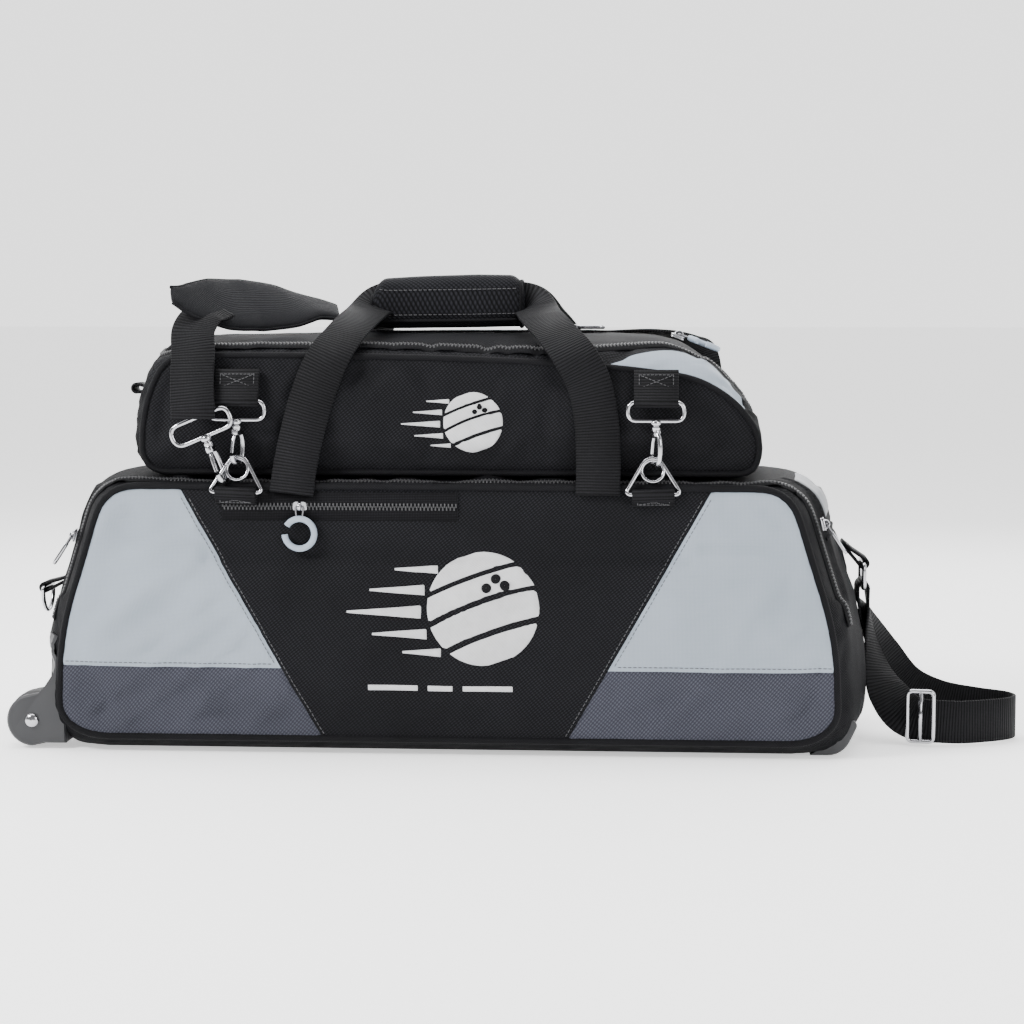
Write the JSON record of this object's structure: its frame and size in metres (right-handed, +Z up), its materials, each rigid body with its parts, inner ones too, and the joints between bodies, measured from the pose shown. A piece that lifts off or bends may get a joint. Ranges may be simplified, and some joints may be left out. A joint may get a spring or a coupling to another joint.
{
  "type": "rolling bowling bag",
  "caption": "Soft rolling ball tote with a clip-on accessory pouch, joined carry handles, padded shoulder strap, end wheels and webbing pull strap.",
  "frame": {"origin": "centre of the tote's flat underside", "axes": "+X along the bag from the wheels to the pull strap, +Z up, front panel facing -Y"},
  "size_m": [0.8913, 0.2672, 0.4139],
  "materials": {
    "fabric_black": "woven ballistic nylon with light grey and slate panels on the front",
    "webbing": "ribbed nylon webbing",
    "padding": "padded quilted fabric",
    "metal": "bright nickel plating",
    "rubber_grey": "satin moulded rubber",
    "moulded": "satin charcoal moulding",
    "board": "stiff board",
    "foam": "closed-cell foam",
    "tyre_black": "satin polyurethane"
  },
  "bodies": {
    "tote": {"axle_back": "metal", "axle_front": "metal", "ball_tray": "foam", "base_board": "board", "end_tab": "webbing", "pouch_end_tab": "webbing", "pouch_hook_bl": "metal", "pouch_hook_br": "metal", "pouch_hook_fl": "metal", "pouch_hook_fr": "metal", "pouch_lid": "fabric_black", "pouch_shell": "fabric_black", "pouch_tab_bl": "webbing", "pouch_tab_br": "webbing", "pouch_tab_fl": "webbing", "pouch_tab_fr": "webbing", "pull_anchor": "webbing", "pull_ring": "metal", "ring_band_bl": "webbing", "ring_band_br": "webbing", "ring_band_fl": "webbing", "ring_band_fr": "webbing", "ring_bl": "metal", "ring_br": "metal", "ring_fl": "metal", "ring_fr": "metal", "skid_back": "moulded", "skid_front": "moulded", "strap_adjuster": "metal", "strap_hook_back": "metal", "strap_hook_front": "metal", "strap_pad": "padding", "strap_web_front": "webbing", "strap_web_long": "webbing", "tote_shell": "fabric_black", "tote_top": "fabric_black", "wheel_housing_back": "moulded", "wheel_housing_front": "moulded"},
    "wheel_front": {"wheel_front": "tyre_black"},
    "wheel_back": {"wheel_back": "tyre_black"},
    "handle_front": {"handle_front": "webbing", "handle_grip": "padding"},
    "handle_back": {"handle_back": "webbing"},
    "pocket_slider": {"pocket_slider": "metal"},
    "pocket_pull": {"pocket_pull": "rubber_grey"},
    "main_slider_left": {"main_slider_left": "metal"},
    "main_pull_left": {"main_pull_left": "metal"},
    "main_slider_right": {"main_slider_right": "metal"},
    "main_pull_right": {"main_pull_right": "metal"},
    "pouch_slider": {"pouch_slider": "metal"},
    "pouch_pull": {"pouch_pull": "rubber_grey"},
    "end_dring": {"end_dring": "metal"},
    "pull_strap": {"pull_strap": "webbing", "pull_adjuster": "metal"},
    "pouch_gate_fl": {"pouch_gate_fl": "metal"},
    "pouch_gate_fr": {"pouch_gate_fr": "metal"},
    "pouch_gate_bl": {"pouch_gate_bl": "metal"},
    "pouch_gate_br": {"pouch_gate_br": "metal"},
    "strap_gate_front": {"strap_gate_front": "metal"},
    "strap_gate_back": {"strap_gate_back": "metal"}
  },
  "joints": [
    {"name": "wheel_front_spin", "type": "hinge", "parent": "tote", "child": "wheel_front", "pos_m": [-0.364, -0.09, 0.0245], "axis": [0, 1, 0], "continuous": true},
    {"name": "wheel_back_spin", "type": "hinge", "parent": "tote", "child": "wheel_back", "pos_m": [-0.364, 0.09, 0.0245], "axis": [0, 1, 0], "continuous": true},
    {"name": "handle_front_swing", "type": "hinge", "parent": "tote", "child": "handle_front", "pos_m": [0, -0.1256, 0.226], "axis": [1, 0, 0], "range_deg": [0, 100]},
    {"name": "handle_back_swing", "type": "hinge", "parent": "tote", "child": "handle_back", "pos_m": [0, 0.1256, 0.226], "axis": [-1, 0, 0], "range_deg": [0, 100]},
    {"name": "pouch_gate_fl_open", "type": "hinge", "parent": "tote", "child": "pouch_gate_fl", "pos_m": [-0.18076, -0.12114, 0.2744], "axis": [0.8724, -0.4889, 0], "range_deg": [0, 25], "stiffness_Nm_per_rad": 0.02, "springref_deg": -28.65},
    {"name": "pouch_gate_fr_open", "type": "hinge", "parent": "tote", "child": "pouch_gate_fr", "pos_m": [0.17924, -0.11486, 0.2744], "axis": [-0.8724, -0.4889, 0], "range_deg": [0, 25], "stiffness_Nm_per_rad": 0.02, "springref_deg": -28.65},
    {"name": "pouch_gate_bl_open", "type": "hinge", "parent": "tote", "child": "pouch_gate_bl", "pos_m": [-0.18076, 0.12114, 0.2744], "axis": [-0.8724, -0.4889, 0], "range_deg": [0, 25], "stiffness_Nm_per_rad": 0.02, "springref_deg": -28.65},
    {"name": "pouch_gate_br_open", "type": "hinge", "parent": "tote", "child": "pouch_gate_br", "pos_m": [0.17924, 0.11486, 0.2744], "axis": [0.8724, -0.4889, 0], "range_deg": [0, 25], "stiffness_Nm_per_rad": 0.02, "springref_deg": -28.65},
    {"name": "strap_gate_front_open", "type": "hinge", "parent": "tote", "child": "strap_gate_front", "pos_m": [-0.19977, -0.12747, 0.25942], "axis": [0.9077, -0.17, 0.3838], "range_deg": [0, 25], "stiffness_Nm_per_rad": 0.02, "springref_deg": -28.65},
    {"name": "strap_gate_back_open", "type": "hinge", "parent": "tote", "child": "strap_gate_back", "pos_m": [0.19977, 0.12747, 0.25942], "axis": [-0.9077, 0.17, 0.3838], "range_deg": [0, 25], "stiffness_Nm_per_rad": 0.02, "springref_deg": -28.65},
    {"name": "pocket_slider_run", "type": "slide", "parent": "tote", "child": "pocket_slider", "axis": [1, 0, 0], "range_m": [-0.015, 0.115]},
    {"name": "pocket_pull_swing", "type": "hinge", "parent": "pocket_slider", "child": "pocket_pull", "pos_m": [-0.124, -0.127, 0.215], "axis": [-1, 0, 0], "range_deg": [0, 80]},
    {"name": "main_slider_left_run", "type": "slide", "parent": "tote", "child": "main_slider_left", "axis": [-0.2425, 0, -0.9701], "range_m": [-0.012, 0.006]},
    {"name": "main_pull_left_swing", "type": "hinge", "parent": "main_slider_left", "child": "main_pull_left", "pos_m": [-0.3305, -0.092, 0.186], "axis": [0, 1, 0], "range_deg": [0, 90]},
    {"name": "main_slider_right_run", "type": "slide", "parent": "tote", "child": "main_slider_right", "axis": [0.2425, 0, -0.9701], "range_m": [-0.012, 0.025]},
    {"name": "main_pull_right_swing", "type": "hinge", "parent": "main_slider_right", "child": "main_pull_right", "pos_m": [0.3275, -0.092, 0.2], "axis": [0, -1, 0], "range_deg": [0, 90]},
    {"name": "pouch_slider_run", "type": "slide", "parent": "tote", "child": "pouch_slider", "axis": [-0.8846, -0.4624, -0.0603], "range_m": [0, 0.018]},
    {"name": "pouch_pull_swing", "type": "hinge", "parent": "pouch_slider", "child": "pouch_pull", "pos_m": [0.2, -0.05, 0.362], "axis": [0.0995, -0.995, 0], "range_deg": [0, 90]},
    {"name": "end_dring_swing", "type": "hinge", "parent": "tote", "child": "end_dring", "pos_m": [-0.377, 0, 0.13], "axis": [0, 1, 0], "range_deg": [-15, 100]},
    {"name": "pull_strap_lift", "type": "hinge", "parent": "tote", "child": "pull_strap", "pos_m": [0.365, 0, 0.136], "axis": [0, -1, 0], "range_deg": [0, 85]}
  ]
}
